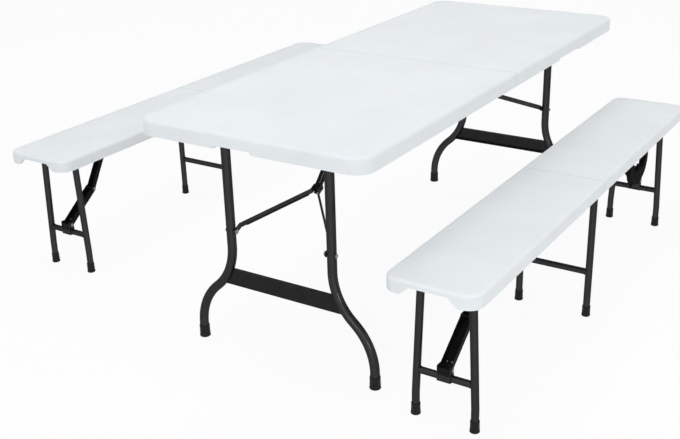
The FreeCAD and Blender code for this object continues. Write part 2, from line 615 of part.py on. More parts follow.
def bench_legs(name, x, top, low, bend_at, first_height):
    """Two tubes of a bench frame."""
    tubes = []
    for tag, side in (("left", "+"), ("right", "-")):
        spots = [(x, f"({side}{top})", first_height), (x, f"({side}{low})", bend_at)]
        spots += [(x, f"({side}{low})", "foot_rise")]
        tubes.append(bent_tube(f"{name}_{tag}_tube", spots, "bench_bend", "bench_tube / 2"))
    return tubes


def end_frame(label, home):
    """An end frame of a bench: legs, divided crossbar, centre lug and pivot tube."""
    x = "bench_frame_x"
    tubes = bench_legs(label, x, "bench_leg_spread", "bench_foot_spread", "bench_bend_low", "bench_pivot")
    core = rod(f"{label}_core", x, "-bench_pivot_half", "bench_pivot", "bench_pivot_tube / 2",
               "2 * bench_pivot_half")
    journal = rod(f"{label}_journal", x, "-bench_journal_half", "bench_pivot", "bench_journal / 2",
                  "2 * bench_journal_half")
    inner = "(lower_half + lug_gap)"
    outer = f"({inner} + lug_wall)"
    back = f"({x} - lug_back)"
    low = "(crossbar_height - lug_low)"
    high = f"(lug_height + lug_high - {low})"
    items = tubes + [core, journal]
    items.append(block(f"{label}_web", back, f"-{outer}", low, "lug_wall", f"2 * {outer}", "2 * lug_low"))
    bar = f"(bench_foot_spread - bench_tube / 4 - {inner} - lug_wall / 2)"
    for tag, side in (("left", 1), ("right", -1)):
        cheek_y = inner if side > 0 else f"-{outer}"
        items.append(block(f"{label}_{tag}_cheek", back, cheek_y, low, "lug_back + lug_front",
                           "lug_wall", high))
        bar_y = f"({inner} + lug_wall / 2)" if side > 0 else f"(-{inner} - lug_wall / 2 - {bar})"
        items.append(rod(f"{label}_{tag}_bar", x, bar_y, "crossbar_height", "crossbar / 2", bar))
    first = "(upper_half + lug_gap)"
    reach = f"({outer} + rivet_high)"
    for tag, y in (("left", first), ("right", f"-{reach}")):
        items.append(rod(f"{label}_{tag}_pin", x, y, "lug_height", "bolt / 2", f"{reach} - {first}"))
    finish(join(f"{label}_solid", items), label, home)
    bench_feet(label, home, x, "bench_foot_spread", tubes)


def bench_feet(label, home, x, spread, tubes):
    """The two rubber feet of a bench frame."""
    feet = []
    for tag, side, tube in (("left", "+", tubes[0]), ("right", "-", tubes[1])):
        feet.append(cap(f"{label}_{tag}_foot", x, f"({side}{spread})", "bench_foot / 2",
                        "bench_foot_high", tube))
    finish(group(f"{label}_feet_pair", feet), label.replace("frame", "feet"), home)


def mid_frame(label, home):
    """The middle frame of a bench: straight legs, crossbar and pivot tube."""
    x = "(-mid_from_seam)"
    tubes = []
    for tag, side in (("left", "+"), ("right", "-")):
        tubes.append(rod(f"{label}_{tag}_tube", x, f"({side}mid_leg_spread)", "foot_rise", "bench_tube / 2",
                         "bench_pivot + mid_top - foot_rise", "z"))
    wide = "2 * mid_leg_spread"
    pivot = rod(f"{label}_pivot", x, "-mid_leg_spread", "bench_pivot", "bench_journal / 2", wide)
    bar = rod(f"{label}_bar", x, "-mid_leg_spread", "mid_crossbar_height", "crossbar / 2", wide)
    finish(join(f"{label}_solid", tubes + [pivot, bar]), label, home)
    bench_feet(label, home, x, "mid_leg_spread", tubes)


def bench_links(label, home):
    """The two channel links that brace an end frame."""
    head = "(lower_half + rivet_high)"
    rivet = rod(f"{label}_lower_rivet_tool", "lower_long", "lower_half - rivet_high / 2", "0",
                "rivet_head / 2", "rivet_high * 1.5")
    other = rod(f"{label}_lower_rivet_other", "lower_long", f"-{head}", "0", "rivet_head / 2",
                "rivet_high * 1.5")
    lower = channel(f"{label}_lower", "lower_long", "lower_half", "lower_wall", "bench_link_deep", "0",
                    "bench_link_deep", "bench_open_end", "rivet / 2 + play", False, [rivet, other])
    pitch = math.degrees(math.atan2(value("lower_rise"), value("bench_elbow_reach")))
    finish(lower, f"{label}_lower_link", home, "bench_frame_x", "0", "lug_height", pitch)
    pin = rod(f"{label}_upper_pin", "upper_long", "-upper_half", "0", "rivet / 2 + play", "2 * upper_half")
    upper = channel(f"{label}_upper", "upper_long", "upper_half", "upper_wall", "bench_link_deep",
                    "upper_link_trim", "bench_link_deep", "bench_open_end", "rivet / 2 + play", True, [pin])
    pitch = math.degrees(math.atan2(value("-upper_rise"), value("-upper_reach")))
    finish(upper, f"{label}_upper_link", home, "bench_frame_x + bench_top_reach", "0", "bench_pivot", pitch)


def bearing(name, x, y):
    """A block under the bench top that a journal turns in."""
    low = "(bench_pivot - bearing_low)"
    solid = block(f"{name}_block", f"{x} - bearing_long / 2", y, low, "bearing_long", "bearing_wide",
                  f"bench_under - {low}")
    bore = rod(f"{name}_bore", x, f"{y} - overrun", "bench_pivot", "bench_journal / 2 + play",
               "bearing_wide + 2 * overrun")
    return take(name, solid, [bore])


def bench_brackets(label, home, middle, grip):
    """The bearings and the brace bracket under a bench half, and the grip's lugs on the far half."""
    items = [brace_bracket(f"{label}_brace", "(bench_frame_x + bench_top_reach)", "bench_pivot",
                           "bench_under", "upper_half")]
    places = [("end", "bench_frame_x", "(bench_pivot_half + overrun)")]
    if middle:
        places.append(("mid", "(-mid_from_seam)", "mid_bracket_from"))
    for tag, x, first in places:
        items.append(bearing(f"{label}_{tag}_left", x, first))
        items.append(bearing(f"{label}_{tag}_right", x, f"(-{first} - bearing_wide)"))
    if grip:
        items += [grip_lug(f"{label}_lug_near", 1), grip_lug(f"{label}_lug_far", -1)]
    finish(group(f"{label}_group", items), label, home)


def grip_lug(name, side):
    """A lug that the carry grip hangs on, with its pin."""
    arm = "(grip_side - grip_arm)"
    x = f"(-grip_from_seam + {arm} - lug_gap - grip_lug_long)"
    pin_x = x
    if side < 0:
        x = f"(-grip_from_seam - {arm} + lug_gap)"
        pin_x = f"({x} - lug_gap - grip_arm)"
    pivot = "(bench_hinge - grip_pivot_drop)"
    low = f"({pivot} - pin)"
    solid = block(f"{name}_block", x, "grip_y - grip_lug_deep / 2", low, "grip_lug_long",
                  "grip_lug_deep", f"bench_under - {low}")
    pin = rod(f"{name}_pin", pin_x, "grip_y", pivot, "pin / 2", "grip_lug_long + lug_gap + grip_arm", "x")
    return join(name, [solid, pin])


def grip(label, home):
    """The hanging carry grip: two arms and a thick curved bow with four finger hollows."""
    body = doc.addObject("PartDesign::Body", f"{label}_body")
    outer = [("-grip_side", "grip_top"), ("-grip_side", "-grip_cheek"), ("-grip_shoulder", "-grip_jaw")]
    outer += [("-grip_chin", "-grip_drop"), ("grip_chin", "-grip_drop"), ("grip_shoulder", "-grip_jaw")]
    outer += [("grip_side", "-grip_cheek"), ("grip_side", "grip_top")]
    arm = "(grip_side - grip_arm)"
    outer += [(arm, "grip_top"), (arm, "-grip_inner_high"), ("grip_inner_half", "-grip_inner_drop")]
    outer += [("-grip_inner_half", "-grip_inner_drop"), (f"-{arm}", "-grip_inner_high")]
    outer += [(f"-{arm}", "grip_top")]
    feature(body, "Pad", polygon(body, f"{label}_outline", "XZ_Plane", outer), "grip_deep")
    low = value("overrun - grip_cheek")
    high = value("-grip_top")
    soften(body, "grip_bend", lambda e: e.BoundBox.ZLength < value("overrun") / 2
           and e.BoundBox.XLength < value("overrun") / 2 and e.BoundBox.ZMax < low)
    soften(body, "grip_inner_bend", lambda e: e.BoundBox.ZLength < value("overrun") / 2
           and e.BoundBox.XLength < value("overrun") / 2 and low < e.BoundBox.ZMax < high)
    for i in range(4):
        x = f"(finger_step * ({i} - 1.5))"
        hollow = circle(body, f"{label}_finger_{i}", "XZ_Plane", x, "-finger_drop", "finger_round")
        feature(body, "Pocket", hollow, "2 * grip_deep")
    face = value("grip_deep / 2")
    soften(body, "grip_edge", lambda e: abs(abs(e.BoundBox.YMin) - face) < value("overrun") / 10
           and e.BoundBox.YLength < value("overrun") / 2 and e.BoundBox.ZMin < value("-grip_inner_drop")
           and e.BoundBox.ZMin < low and e.BoundBox.ZMax <= value("-grip_cheek + overrun"))
    bores = []
    for i, x in enumerate(("grip_side - grip_arm - overrun", "-grip_side - overrun")):
        bores.append(rod(f"{label}_bore_{i}", x, "0", "0", "pin / 2 + play", "grip_arm + 2 * overrun", "x"))
    finish(take(f"{label}_cut", body, bores), label, home, "-grip_from_seam", "grip_y",
           "bench_hinge - grip_pivot_drop")


def table():
    """Both halves of the table with what they carry."""
    for tag, turned in (("near", False), ("far", True)):
        home = ("0", "0", turned)
        table_half(f"table_{tag}_top", home)
        rails(f"table_{tag}_rails", home)
        hinge(f"table_{tag}_hinges", home, "table_hinge", "table_hinge_drop", "table_leaf_from", "table_wall",
              "table_leaf", "table_eye", not turned)
        table_frame(f"table_{tag}", home)
        yoke(f"table_{tag}_yoke", home)
        table_link(f"table_{tag}_upper_link", home)
        bracket = brace_bracket(f"table_{tag}_bracket_solid", "(table_frame_x + brace_top_reach)",
                                "table_pivot", "table_under", "link_half")
        finish(bracket, f"table_{tag}_brace_bracket", home)


def bench(side):
    """One bench beside the table."""
    for tag, turned in (("near", False), ("far", True)):
        home = (f"{side}_bench_x", f"{side}_bench_y", turned)
        name = f"{side}_bench_{tag}"
        bench_half(f"{name}_top", home)
        hinge(f"{name}_hinges", home, "bench_hinge", "bench_hinge_drop", "bench_leaf_from",
              "bench_seam_wall", "bench_leaf", "bench_eye", not turned)
        end_frame(f"{name}_frame", home)
        bench_links(name, home)
        bench_brackets(f"{name}_brackets", home, not turned, turned)
    mid_frame(f"{side}_bench_mid_frame", (f"{side}_bench_x", f"{side}_bench_y", False))
    grip(f"{side}_bench_grip", (f"{side}_bench_x", f"{side}_bench_y", True))


table()
bench("left")
bench("right")
doc.recompute()

for item in doc.Objects:
    if "Invalid" in item.State or "Error" in item.State:
        raise RuntimeError(f"{item.Name} did not build: {item.State}")
for item in parts:
    if item.Shape.isNull() or not item.Shape.isValid():
        raise RuntimeError(f"{item.Label} has no valid shape")

os.makedirs("parts", exist_ok=True)
for item in parts:
    item.Shape.exportStep(f"parts/{item.Label}.step")
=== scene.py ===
"""Looks of the folding table and its two folding benches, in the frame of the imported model.

Blender works in metres. The small pieces that this script adds are laid out in millimetres, in the
coordinates of one half: X from the seam (outward is negative), Y from the middle line, Z from the floor.
"""
import json
import math

import bmesh
import bpy
from mathutils import Matrix, Vector


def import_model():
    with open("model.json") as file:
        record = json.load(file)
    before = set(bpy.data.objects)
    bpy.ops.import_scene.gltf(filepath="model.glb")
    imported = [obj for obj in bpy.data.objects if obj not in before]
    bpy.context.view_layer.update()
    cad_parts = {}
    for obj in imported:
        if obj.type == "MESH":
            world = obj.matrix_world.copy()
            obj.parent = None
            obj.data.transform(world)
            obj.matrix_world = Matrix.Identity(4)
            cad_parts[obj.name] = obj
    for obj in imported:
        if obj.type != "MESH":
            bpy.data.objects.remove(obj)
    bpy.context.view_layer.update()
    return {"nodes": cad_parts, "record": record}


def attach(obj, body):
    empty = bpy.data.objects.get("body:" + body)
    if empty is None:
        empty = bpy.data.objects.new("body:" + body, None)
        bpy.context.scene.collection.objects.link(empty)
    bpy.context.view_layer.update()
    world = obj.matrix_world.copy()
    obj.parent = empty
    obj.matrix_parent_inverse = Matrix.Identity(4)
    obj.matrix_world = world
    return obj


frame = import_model()
nodes = frame["nodes"]


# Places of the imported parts, in millimetres

MM = 0.001
BENCHES = ("left_bench", "right_bench")
TAGS = ("near", "far")
SIDES = (1, -1)
CENTRES = {"table": (-67.5, -244.5), "left_bench": (105.5, 799.5), "right_bench": (-105.5, -799.5)}

TABLE_FRAME_X = -770
TABLE_FOOT_Y = 308
BOLT_Z = 385
BOLT_END_Y = 189.2

END_FRAME_X = -785
END_FOOT_Y = 88
END_BAR_Z = 140
END_BAR_LEG_Y = 74.5
END_BAR_LUG_Y = 21
MID_FRAME_X = -28
MID_FOOT_Y = 114.5
MID_BAR_Z = 152
MID_BAR_LEG_Y = 103.8
BAR_RADIUS = 10

# The pins of a bench's brace, as (x, z), and where the pins end across it
LUG_PIN = (END_FRAME_X, 165)
ELBOW = (-658, 260)
TOP_PIN = (-559, 423.5)
LUG_PIN_END_Y = 21.4
ELBOW_END_Y = 18.5


def slope(start, end):
    """The angle of a link that runs from one pin to another."""
    return math.atan2(end[1] - start[1], end[0] - start[0])


LOWER_SLOPE = slope(LUG_PIN, ELBOW)
UPPER_SLOPE = slope(TOP_PIN, ELBOW)


def half_sign(tag):
    """1 for the near half, and -1 for the far half, which is the near half turned about Z."""
    return 1 if tag == "near" else -1


def world(unit, tag, x, y, z):
    """A point of a unit's half in metres."""
    centre_x, centre_y = CENTRES[unit]
    sign = half_sign(tag)
    return Vector(((centre_x + sign * x) * MM, (centre_y + sign * y) * MM, z * MM))


def way_of(tag, x, y, z):
    """A direction in a half's coordinates, turned with the half."""
    sign = half_sign(tag)
    return Vector((sign * x, sign * y, z))


def on_link(unit, tag, start, angle, reach, lift, y):
    """A point in metres: a reach along a link from its start, a lift off its axis, and y across it."""
    along = Vector((math.cos(angle), math.sin(angle)))
    normal = Vector((-along.y, along.x))
    flat = Vector(start) + along * reach + normal * lift
    return world(unit, tag, flat.x, y, flat.y)


# Materials

# Nearly all of a noise lies between these two values
NOISE_LOW = 0.3
NOISE_HIGH = 0.7
# How early the facing value rises toward the edge of a round surface
FACING_BLEND = 0.8


class Net:
    """A short way to write a shader's node net."""

    def __init__(self, name):
        self.material = bpy.data.materials.new(name)
        self.material.use_nodes = True
        self.tree = self.material.node_tree
        self.skin = self.tree.nodes["Principled BSDF"]
        self.place = self.add("ShaderNodeTexCoord").outputs["Object"]

    def add(self, kind, **values):
        """A new node with its settings."""
        node = self.tree.nodes.new(kind)
        for key, value in values.items():
            setattr(node, key, value)
        return node

    def wire(self, source, target):
        """Links an output to an input."""
        self.tree.links.new(source, target)

    def noise(self, scale, detail=2.0, rough=0.5, stretch=None):
        """Noise over the object's own coordinates, stretched along an axis if asked."""
        node = self.add("ShaderNodeTexNoise")
        node.inputs["Scale"].default_value = scale
        node.inputs["Detail"].default_value = detail
        node.inputs["Roughness"].default_value = rough
        source = self.place
        if stretch:
            mapping = self.add("ShaderNodeMapping")
            mapping.inputs["Scale"].default_value = stretch
            self.wire(source, mapping.inputs["Vector"])
            source = mapping.outputs["Vector"]
        self.wire(source, node.inputs["Vector"])
        return node.outputs["Fac"]

    def spread(self, source, low, high):
        """Spreads noise over a range of values."""
        node = self.add("ShaderNodeMapRange")
        node.inputs["From Min"].default_value = NOISE_LOW
        node.inputs["From Max"].default_value = NOISE_HIGH
        node.inputs["To Min"].default_value = low
        node.inputs["To Max"].default_value = high
        self.wire(source, node.inputs["Value"])
        return node.outputs["Result"]

    def mottle(self, noise, dark, light):
        """A colour that drifts between two as the noise does."""
        node = self.add("ShaderNodeMix", data_type="RGBA")
        node.inputs["A"].default_value = (*dark, 1)
        node.inputs["B"].default_value = (*light, 1)
        self.wire(self.spread(noise, low=0, high=1), node.inputs["Factor"])
        return node.outputs["Result"]

    def bump(self, height, distance, strength, under=None):
        """Adds relief from a height, on top of another relief if one is given."""
        node = self.add("ShaderNodeBump")
        node.inputs["Strength"].default_value = strength
        node.inputs["Distance"].default_value = distance
        self.wire(height, node.inputs["Height"])
        if under:
            self.wire(under, node.inputs["Normal"])
        return node.outputs["Normal"]

    def facing(self, middle, edge):
        """A value that goes from the middle of a round surface to its edge, as the camera sees it; the
        materials use it to paint shade on rims.
        """
        weight = self.add("ShaderNodeLayerWeight")
        weight.inputs["Blend"].default_value = FACING_BLEND
        node = self.add("ShaderNodeMapRange")
        node.inputs["To Min"].default_value = middle
        node.inputs["To Max"].default_value = edge
        self.wire(weight.outputs["Facing"], node.inputs["Value"])
        return node.outputs["Result"]

    def set(self, **values):
        """Sets or wires inputs of the skin."""
        for key, value in values.items():
            socket = self.skin.inputs[key.replace("_", " ")]
            if isinstance(value, bpy.types.NodeSocket):
                self.wire(value, socket)
            else:
                socket.default_value = value


def moulded_white():
    """Pale moulded plastic with a fine pebble grain and slight waviness."""
    net = Net("moulded_white")
    tone = net.mottle(net.noise(scale=5.0, detail=3.0), dark=(0.79, 0.815, 0.82),
                      light=(0.83, 0.855, 0.86))
    wave = net.bump(net.noise(scale=14.0, detail=1.0), distance=0.0006, strength=0.5)
    grain = net.noise(scale=1150.0, detail=3.0, rough=0.6)
    relief = net.bump(grain, distance=0.00022, strength=0.55, under=wave)
    rough = net.spread(net.noise(scale=60.0, detail=4.0), low=0.40, high=0.54)
    net.set(Base_Color=tone, Roughness=rough, Normal=relief, Specular_IOR_Level=0.42,
            Subsurface_Weight=0.06, Subsurface_Scale=0.004)
    return net.material


def coated_steel(name, dark, light, sheen, gloss):
    """Powder coat: a fine orange-peel relief, with its sheen and clear layer cut toward the edges as the
    camera sees them, which paints shade on the rims of round parts.
    """
    net = Net(name)
    tone = net.mottle(net.noise(scale=34.0, detail=4.0), dark, light)
    swell = net.bump(net.noise(scale=120.0), distance=0.0002, strength=0.5)
    relief = net.bump(net.noise(scale=950.0), distance=0.00018, strength=0.6, under=swell)
    rough = net.spread(net.noise(scale=220.0, detail=4.0), low=0.36, high=0.46)
    net.set(Base_Color=tone, Roughness=rough, Normal=relief,
            # Painted shade: reflection and clear layer fade to nearly nothing where the surface turns away
            # from the camera, so the rims go dark
            Specular_IOR_Level=net.facing(middle=sheen, edge=0.01),
            Coat_Weight=net.facing(middle=gloss, edge=0.0), Coat_Roughness=0.12)
    return net.material


def plated_steel():
    """Plated steel, brushed along one way, with dull patches."""
    net = Net("plated_steel")
    tone = net.mottle(net.noise(scale=90.0, detail=5.0), dark=(0.20, 0.20, 0.20),
                      light=(0.32, 0.32, 0.31))
    lines = net.noise(scale=1400.0, rough=0.6, stretch=(0.08, 1.0, 1.0))
    net.set(Base_Color=tone, Metallic=1.0, Roughness=net.spread(lines, low=0.22, high=0.44),
            Normal=net.bump(lines, distance=0.00005, strength=0.5))
    return net.material


def matt_rubber():
    """Black rubber with a dusty mottle."""
    net = Net("matt_rubber")
    tone = net.mottle(net.noise(scale=160.0, detail=5.0), dark=(0.005, 0.005, 0.0055),
                      light=(0.012, 0.012, 0.0125))
    rough = net.spread(net.noise(scale=300.0, detail=3.0), low=0.5, high=0.72)
    net.set(Base_Color=tone, Roughness=rough, Specular_IOR_Level=0.2,
            Normal=net.bump(net.noise(scale=1300.0), distance=0.00016, strength=0.6))
    return net.material


def moulded_black():
    """Black moulded plastic with a fine grain, its sheen cut toward the edges as the camera sees them,
    which paints shade on the rims.
    """
    net = Net("moulded_black")
    tone = net.mottle(net.noise(scale=70.0, detail=4.0), dark=(0.0028, 0.0028, 0.003),
                      light=(0.006, 0.006, 0.0062))
    rough = net.spread(net.noise(scale=240.0, detail=3.0), low=0.42, high=0.6)
    grain = net.noise(scale=1200.0, detail=3.0)
    # Painted shade: the reflection fades to nothing where the surface turns away from the camera
    net.set(Base_Color=tone, Roughness=rough, Specular_IOR_Level=net.facing(middle=0.14, edge=0.0),
            Normal=net.bump(grain, distance=0.00014, strength=0.6))
    return net.material


WHITE = moulded_white()
STEEL = coated_steel("coated_steel", dark=(0.0035, 0.0037, 0.0041), light=(0.0070, 0.0072, 0.0078),
                     sheen=0.27, gloss=0.66)
# Copies of the steel coat with painted light and shade: the plate lighter with less sheen, the links
# lighter with almost no sheen, the brace lighter
PLATE_LIT_COPY = coated_steel("coated_plate_lit_copy", dark=(0.0060, 0.0062, 0.0066), light=(0.0110, 0.0113, 0.0120),
                     sheen=0.18, gloss=0.20)
LINK_LIT_COPY = coated_steel("coated_link_lit_copy", dark=(0.0062, 0.0064, 0.0068), light=(0.0104, 0.0107, 0.0114),
                       sheen=0.07, gloss=0.04)
BRACE_LIT_COPY = coated_steel("coated_brace_lit_copy", dark=(0.018, 0.0185, 0.020), light=(0.029, 0.030, 0.032),
                     sheen=0.26, gloss=0.30)
PLATED = plated_steel()
RUBBER = matt_rubber()
BLACK = moulded_black()
SLOTS = {"white_plastic": WHITE, "dark_steel": STEEL, "zinc": PLATED, "rubber": RUBBER,
         "black_plastic": BLACK}
# Steel nodes that get a copy of the one steel coat, by how their names end; the copies differ only by
# painted light and shade
LIT_COPIES = {"yoke": BRACE_LIT_COPY, "plate": PLATE_LIT_COPY, "link": LINK_LIT_COPY}


def dress():
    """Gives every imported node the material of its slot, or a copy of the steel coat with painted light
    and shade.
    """
    slots = {entry["node"]: entry["material_slot"] for entry in frame["record"]["subparts"]}
    for name, node in nodes.items():
        skin = SLOTS[slots[name]]
        for ending, coat in LIT_COPIES.items():
            if name.endswith(ending):
                skin = coat
        node.data.materials.clear()
        node.data.materials.append(skin)


dress()


# Ways to build a piece

CREASE_ANGLE = math.radians(38)


def piece(name, mesh, skin, body):
    """A finished mesh as a piece that rides on a body."""
    mesh.materials.append(skin)
    for face in mesh.polygons:
        face.use_smooth = True
    made = bpy.data.objects.new(name, mesh)
    bpy.context.scene.collection.objects.link(made)
    crease = made.modifiers.new("crease", "EDGE_SPLIT")
    crease.split_angle = CREASE_ANGLE
    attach(made, body)
    return made


def from_build(name, build):
    """A mesh from what was built, with its faces turned outward."""
    bmesh.ops.recalc_face_normals(build, faces=build.faces)
    mesh = bpy.data.meshes.new(name)
    build.to_mesh(mesh)
    build.free()
    return mesh


def aimed(place, way):
    """A matrix that puts local Z along a direction at a place."""
    return Matrix.Translation(place) @ Vector(way).to_track_quat("Z", "Y").to_matrix().to_4x4()


def skin_between(build, low, high):
    """Faces between two closed rows of points of the same count."""
    count = len(low)
    for i in range(count):
        j = (i + 1) % count
        build.faces.new((low[i], low[j], high[j], high[i]))


def spun(build, outline, around, sides=24):
    """Turns an outline of (radius, height) pairs in metres about an axis given by a matrix."""
    rings = []
    for radius, height in outline:
        ring = []
        for i in range(sides):
            angle = 2 * math.pi * i / sides
            spot = Vector((radius * math.cos(angle), radius * math.sin(angle), height))
            ring.append(build.verts.new(around @ spot))
        rings.append(ring)
    for low, high in zip(rings, rings[1:]):
        skin_between(build, low, high)
    build.faces.new(list(reversed(rings[0])))
    build.faces.new(rings[-1])


def sized(outline, across, up):
    """An outline in metres, from pairs that a size across and a size up in millimetres multiply."""
    return [(radius * across * MM, height * up * MM) for radius, height in outline]


# Nuts, screws and rivets

# Outlines as shares of a radius and of a height
NUT_SIDE = [(1.25, 0), (1.25, 0.14), (1, 0.16), (1, 0.6)]
NUT_DOME_RADIUS = 0.92
NUT_DOME_BASE = 0.6
NUT_DOME_STEPS = 6
PAN_HEAD = [(1, 0), (1, 0.45), (0.86, 0.86), (0.45, 1), (0.38, 0.55), (0.1, 0.5)]
# A rivet's head in millimetres
RIVET_HEAD = [(5.2, 0), (5.0, 0.6), (4.2, 1.3), (2.8, 1.8), (1.0, 2.0)]

NUT_RADIUS = 5.2
NUT_HEIGHT = 5.5

DOWN = (0, 0, -1)
SCREW_SIDES = 16
BRACKET_SCREW = {"radius": 4.2, "high": 1.7}
LEAF_SCREW = {"radius": 2.7, "high": 1.2}
BRACKET_SCREW_X = 24
BRACKET_SCREW_Y = 19
# The middle of the bracket's screws and the place of the leaves' rows as (x, z), and each row's y
TABLE_SCREWS = {"bracket": (-350, 725), "leaf": (-12, 690.8), "leaf_rows": (259, 277, 295)}
BENCH_SCREWS = {"bracket": (TOP_PIN[0], 434.5), "leaf": (-11.6, 407.4), "leaf_rows": (39, 57, 75)}
SCREW_PLANS = {"table": TABLE_SCREWS, "left_bench": BENCH_SCREWS, "right_bench": BENCH_SCREWS}

RIVET_SIDES = 20
LUG_RIVET_SIZE = (1.2, 1)
SMALL_RIVET_SIDES = 16
SMALL_RIVET_SIZE = (0.5, 0.8)
SMALL_RIVET_REACH = 24
SMALL_RIVET_LEVEL = -6.2
SMALL_RIVET_Y = 7


def nut_outline():
    """The side of a cap nut, in shares of its radius and height: a washer, a body and a dome."""
    rows = list(NUT_SIDE)
    for i in range(1, NUT_DOME_STEPS):
        angle = math.pi / 2 * i / NUT_DOME_STEPS
        height = NUT_DOME_BASE + (1 - NUT_DOME_BASE) * math.sin(angle)
        rows.append((NUT_DOME_RADIUS * math.cos(angle), height))
    return rows


def cap_nuts():
    """Domed nuts outside the table's legs, on the bolts of the braces."""
    outline = sized(nut_outline(), NUT_RADIUS, NUT_HEIGHT)
    for tag in TAGS:
        build = bmesh.new()
        for side in SIDES:
            place = world("table", tag, TABLE_FRAME_X, side * BOLT_END_Y, BOLT_Z)
            spun(build, outline, aimed(place, way_of(tag, 0, side, 0)))
        piece(f"table_{tag}_cap_nuts", from_build("cap_nuts", build), PLATED, f"table_{tag}_legs")


def screw(build, place, radius, high):
    """A pan head with a recess for a driver, under a top."""
    spun(build, sized(PAN_HEAD, radius, high), aimed(place, DOWN), SCREW_SIDES)


def screws():
    """Screws through the brackets and hinge leaves into the tops."""
    for unit, plan in SCREW_PLANS.items():
        bracket_x, bracket_z = plan["bracket"]
        leaf_x, leaf_z = plan["leaf"]
        for tag in TAGS:
            build = bmesh.new()
            for x in (bracket_x - BRACKET_SCREW_X, bracket_x + BRACKET_SCREW_X):
                for y in (-BRACKET_SCREW_Y, BRACKET_SCREW_Y):
                    screw(build, world(unit, tag, x, y, bracket_z), **BRACKET_SCREW)
            for y in plan["leaf_rows"]:
                for side in SIDES:
                    screw(build, world(unit, tag, leaf_x, side * y, leaf_z), **LEAF_SCREW)
            mesh = from_build("screws", build)
            piece(f"{unit}_{tag}_screws", mesh, PLATED, f"{unit}_{tag}_half")


def elbow_rivets(unit, tag):
    """The domes on a bench's elbow rivet, and two small ones on the web of the lower link."""
    build = bmesh.new()
    for side in SIDES:
        place = world(unit, tag, ELBOW[0], side * ELBOW_END_Y, ELBOW[1])
        spun(build, sized(RIVET_HEAD, 1, 1), aimed(place, way_of(tag, 0, side, 0)), RIVET_SIDES)
    off_web = way_of(tag, -math.sin(LOWER_SLOPE), 0, math.cos(LOWER_SLOPE))
    for y in (-SMALL_RIVET_Y, SMALL_RIVET_Y):
        place = on_link(unit, tag, LUG_PIN, LOWER_SLOPE, SMALL_RIVET_REACH, SMALL_RIVET_LEVEL, y)
        spun(build, sized(RIVET_HEAD, *SMALL_RIVET_SIZE), aimed(place, off_web), SMALL_RIVET_SIDES)
    mesh = from_build("rivets", build)
    piece(f"{unit}_{tag}_rivet_domes", mesh, PLATED, f"{unit}_{tag}_lower_brace")


def lug_rivets(unit, tag):
    """The domes on the pin in a bench's lug."""
    build = bmesh.new()
    for side in SIDES:
        place = world(unit, tag, LUG_PIN[0], side * LUG_PIN_END_Y, LUG_PIN[1])
        around = aimed(place, way_of(tag, 0, side, 0))
        spun(build, sized(RIVET_HEAD, *LUG_RIVET_SIZE), around, RIVET_SIDES)
    mesh = from_build("lug_domes", build)
    piece(f"{unit}_{tag}_lug_domes", mesh, PLATED, f"{unit}_{tag}_leg_frame")


def rivets():
    """All the rivets of the benches' braces."""
    for unit in BENCHES:
        for tag in TAGS:
            elbow_rivets(unit, tag)
            lug_rivets(unit, tag)


# Soles and bands of the feet

# Outlines as (radius beyond the foot's own, height) pairs, in millimetres
SOLE = [(-4.6, 0.5), (0.2, 0.5), (1.1, 1.5), (1.2, 3.5), (0.9, 6.5), (-0.2, 10.5)]
BAND = [(-0.2, 0), (0.5, 0.7), (0.6, 1.4), (0.5, 2.1), (-0.2, 2.8)]
# A foot's own radius, and the height at which its band starts
TABLE_FOOT = {"radius": 15.8, "base": 14}
BENCH_FOOT = {"radius": 12.8, "base": 12.5}
FOOT_SIDES = 28
# How far inside the foot's radius the flat side lies, and how far out the mid frame's treads reach
FLAT_INSET = 0.15
MID_TREAD_Y = 127


def tread(build, foot, inner, radius, base):
    """A sole and a band around a foot, flat on the inner side (1 or -1 along X), toward the folded top."""
    old = set(build.verts)
    sole = [((radius + beyond) * MM, height * MM) for beyond, height in SOLE]
    band = [((radius + beyond) * MM, (base + height) * MM) for beyond, height in BAND]
    for outline in (sole, band):
        spun(build, outline, Matrix.Translation(foot), FOOT_SIDES)
    limit = (radius - FLAT_INSET) * MM
    for vert in set(build.verts) - old:
        if inner * (vert.co.x - foot.x) > limit:
            vert.co.x = foot.x + inner * limit


def treads(unit, tag, x, y, inner, foot_size):
    """The treads of a frame's two feet, still as a build."""
    build = bmesh.new()
    for side in SIDES:
        tread(build, world(unit, tag, x, side * y, 0), inner, **foot_size)
    return build


def trim_outward(build, middle, reach):
    """Keeps what was built within a reach on both sides of a middle line, in metres."""
    for vert in build.verts:
        if abs(vert.co.y - middle) > reach:
            vert.co.y = middle + math.copysign(reach, vert.co.y - middle)


def feet_bands():
    """The sole and the band of every foot."""
    for tag in TAGS:
        build = treads("table", tag, TABLE_FRAME_X, TABLE_FOOT_Y, half_sign(tag), TABLE_FOOT)
        mesh = from_build("foot_bands", build)
        piece(f"table_{tag}_foot_bands", mesh, RUBBER, f"table_{tag}_legs")
    for unit in BENCHES:
        for tag in TAGS:
            build = treads(unit, tag, END_FRAME_X, END_FOOT_Y, half_sign(tag), BENCH_FOOT)
            mesh = from_build("foot_bands", build)
            piece(f"{unit}_{tag}_foot_bands", mesh, RUBBER, f"{unit}_{tag}_leg_frame")
        build = treads(unit, "near", MID_FRAME_X, MID_FOOT_Y, -1, BENCH_FOOT)
        middle = world(unit, "near", MID_FRAME_X, 0, 0).y
        trim_outward(build, middle, MID_TREAD_Y * MM)
        mesh = from_build("foot_bands", build)
        piece(f"{unit}_mid_foot_bands", mesh, RUBBER, f"{unit}_mid_leg_frame")


# Weld beads

BEAD_STEPS = 48
BEAD_SIDES = 8
BEAD_RIPPLES = 12
BEAD_RIPPLE_DEPTH = 0.16
LEG_BEAD = 1.3
LUG_BEAD = 1.1


